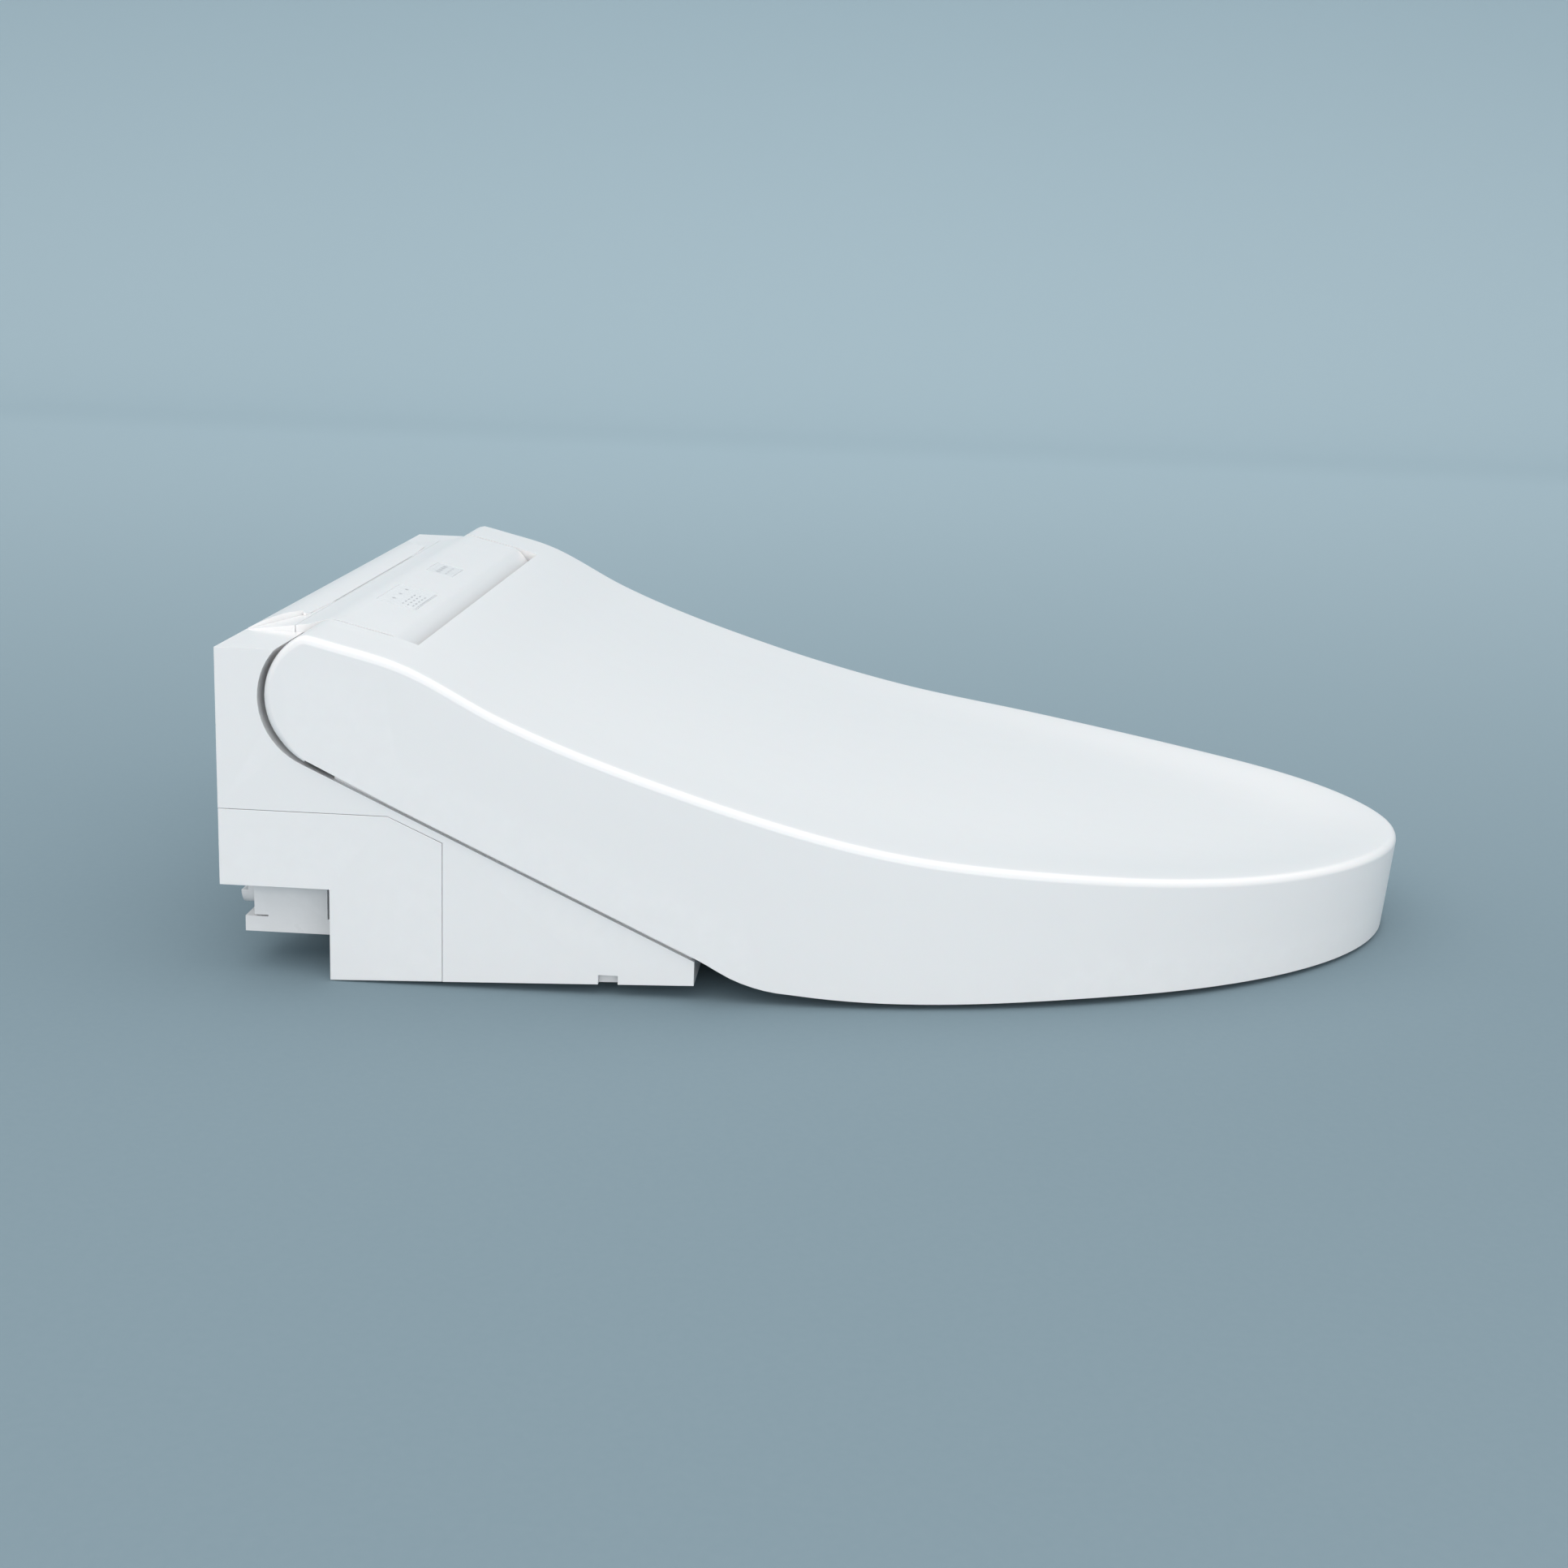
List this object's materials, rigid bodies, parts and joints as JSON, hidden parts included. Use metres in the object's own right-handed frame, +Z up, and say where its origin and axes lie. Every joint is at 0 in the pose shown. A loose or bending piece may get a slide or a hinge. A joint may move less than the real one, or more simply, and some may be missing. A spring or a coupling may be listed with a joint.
{
  "type": "electric bidet seat",
  "caption": "Heated toilet seat with hinged lid, rear washing unit, sliding spray wand, warm-air dryer and quick-release base plate.",
  "frame": {"origin": "midpoint between the two fixing bolts, on the plane of the bowl rim (underside of the base plate)", "axes": "+Z up, -Y towards the front of the seat, +X to the left of a seated person"},
  "size_m": [0.386, 0.528, 0.1482],
  "materials": {
    "white_gloss": "glossy moulded",
    "white_seat": "glossy moulded",
    "pale_plastic": "satin moulded",
    "grey_inlet": "satin moulded",
    "wand_white": "glossy",
    "panel_film": "printed film",
    "dark_window": "translucent white",
    "rubber_pad": "matt",
    "steel": "turned",
    "black_plastic": "moulded",
    "tank_plastic": "moulded",
    "element_metal": "sheathed",
    "board_green": "coated board",
    "gear_nylon": "moulded",
    "filter_carbon": "porous"
  },
  "bodies": {
    "base_plate": {"base_plate": "pale_plastic"},
    "washing_unit": {"air_break": "pale_plastic", "base_case": "pale_plastic", "case_screws": "steel", "control_board": "board_green", "control_cover": "white_gloss", "cord_gland": "rubber_pad", "deodoriser_housing": "pale_plastic", "dryer_duct": "pale_plastic", "dryer_heater": "element_metal", "dryer_housing": "pale_plastic", "dryer_motor": "black_plastic", "feed_hose": "rubber_pad", "flap_pins": "steel", "heater_element": "element_metal", "heater_tank": "tank_plastic", "icon_panel": "panel_film", "inlet_valve": "black_plastic", "left_hinge_bracket": "black_plastic", "left_hinge_shaft": "steel", "lid_damper": "black_plastic", "odour_filter": "filter_carbon", "power_board": "board_green", "rear_cover": "white_gloss", "right_hinge_bracket": "black_plastic", "right_hinge_shaft": "steel", "seat_damper": "black_plastic", "sensor_window": "dark_window", "wand_guide": "pale_plastic", "wand_motor": "black_plastic", "water_inlet": "grey_inlet", "water_pump": "black_plastic"},
    "seat": {"seat_top": "white_seat", "seat_base": "pale_plastic", "seat_heater": "element_metal", "seat_bumpers": "rubber_pad"},
    "lid": {"lid_shell": "white_gloss", "lid_bumpers": "rubber_pad"},
    "wand": {"wand_tube": "wand_white", "nozzle_tip": "wand_white"},
    "drive_pinion": {"drive_pinion": "gear_nylon"},
    "nozzle_shutter": {"nozzle_shutter": "pale_plastic"},
    "dryer_flap": {"dryer_flap": "pale_plastic"},
    "dryer_fan": {"dryer_fan": "black_plastic"},
    "deodoriser_fan": {"deodoriser_fan": "black_plastic"},
    "right_side_cover": {"right_side_cover": "white_gloss"},
    "left_side_cover": {"left_side_cover": "white_gloss"},
    "release_button": {"release_button": "white_gloss"},
    "filter_plug": {"filter_plug": "grey_inlet"}
  },
  "joints": [
    {"name": "unit_slide", "type": "slide", "parent": "base_plate", "child": "washing_unit", "axis": [0, -1, 0], "range_m": [0, 0.06]},
    {"name": "seat_hinge", "type": "hinge", "parent": "washing_unit", "child": "seat", "pos_m": [0, 0.007, 0.1215], "axis": [1, 0, 0], "range_deg": [-98, 0]},
    {"name": "lid_hinge", "type": "hinge", "parent": "seat", "child": "lid", "pos_m": [0, 0.007, 0.1215], "axis": [-1, 0, 0], "range_deg": [0, 98]},
    {"name": "wand_slide", "type": "slide", "parent": "washing_unit", "child": "wand", "axis": [0, -0.9063, -0.4226], "range_m": [0, 0.075]},
    {"name": "pinion_spin", "type": "hinge", "parent": "washing_unit", "child": "drive_pinion", "pos_m": [0, -0.0279, 0.03284], "axis": [1, 0, 0], "range_deg": [0, 897]},
    {"name": "shutter_hinge", "type": "hinge", "parent": "washing_unit", "child": "nozzle_shutter", "pos_m": [0, -0.0773, 0.045], "axis": [-1, 0, 0], "range_deg": [0, 94]},
    {"name": "dryer_flap_hinge", "type": "hinge", "parent": "washing_unit", "child": "dryer_flap", "pos_m": [0.06, -0.0773, 0.045], "axis": [-1, 0, 0], "range_deg": [0, 70]},
    {"name": "dryer_fan_spin", "type": "hinge", "parent": "washing_unit", "child": "dryer_fan", "pos_m": [0.051, 0.018, 0.072], "axis": [1, 0, 0], "continuous": true},
    {"name": "deodoriser_fan_spin", "type": "hinge", "parent": "washing_unit", "child": "deodoriser_fan", "pos_m": [0.0865, -0.043, 0.029], "axis": [1, 0, 0], "continuous": true},
    {"name": "right_cover_pull", "type": "slide", "parent": "washing_unit", "child": "right_side_cover", "axis": [-1, 0, 0], "range_m": [0, 0.03]},
    {"name": "left_cover_pull", "type": "slide", "parent": "washing_unit", "child": "left_side_cover", "axis": [1, 0, 0], "range_m": [0, 0.03]},
    {"name": "release_press", "type": "slide", "parent": "washing_unit", "child": "release_button", "axis": [-1, 0, 0], "range_m": [0, 0.003], "stiffness_N_per_m": 300, "springref_m": -0.002},
    {"name": "filter_plug_turn", "type": "hinge", "parent": "washing_unit", "child": "filter_plug", "pos_m": [-0.1545, 0.04, 0.0305], "axis": [0, 1, 0], "range_deg": [0, 90]}
  ],
  "couplings": [
    {"joint": "pinion_spin", "follows": "wand_slide", "rad_per_m": 208.33},
    {"joint": "shutter_hinge", "follows": "wand_slide", "rad_per_m": 21.6}
  ]
}
